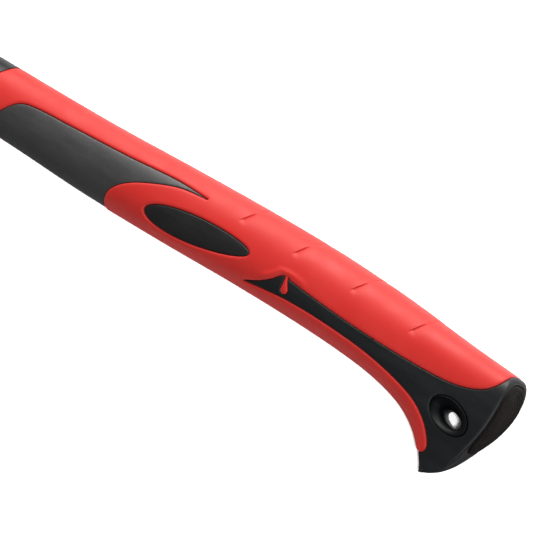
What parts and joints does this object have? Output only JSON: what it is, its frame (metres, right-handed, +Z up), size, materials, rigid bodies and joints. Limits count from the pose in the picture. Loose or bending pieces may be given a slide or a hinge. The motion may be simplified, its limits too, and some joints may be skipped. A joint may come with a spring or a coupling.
{
  "type": "claw hammer",
  "caption": "Claw hammer lying on its side: steel head with a split curved claw, and a glass-fibre cored two-colour grip that flares into a hooked butt with a lanyard hole.",
  "frame": {"origin": "on the surface the hammer lies on, under the middle of its bounding box", "axes": "+X runs down the handle from the head to the butt, -Y is the way the striking face looks, +Y is the claws' side, +Z is up as the hammer lies on its right side"},
  "size_m": [0.333, 0.1318, 0.028],
  "materials": {
    "head_steel": "fine-ground and clear lacquered",
    "resin": "cast, slightly glossy",
    "glass_fibre": "pultruded",
    "hard_black": "satin, finely grained",
    "soft_red": "matt soft-touch",
    "soft_black": "satin soft-touch"
  },
  "bodies": {
    "root": {"hammer_head": "head_steel", "eye_resin": "resin", "core_rod": "glass_fibre", "core_jacket": "hard_black", "grip_sleeve": "soft_red", "neck_panel": "soft_black", "thumb_pad_left": "soft_black", "thumb_pad_right": "soft_black", "butt_cap": "hard_black", "lanyard_eyelet": "hard_black", "butt_plate": "soft_black"}
  },
  "joints": []
}
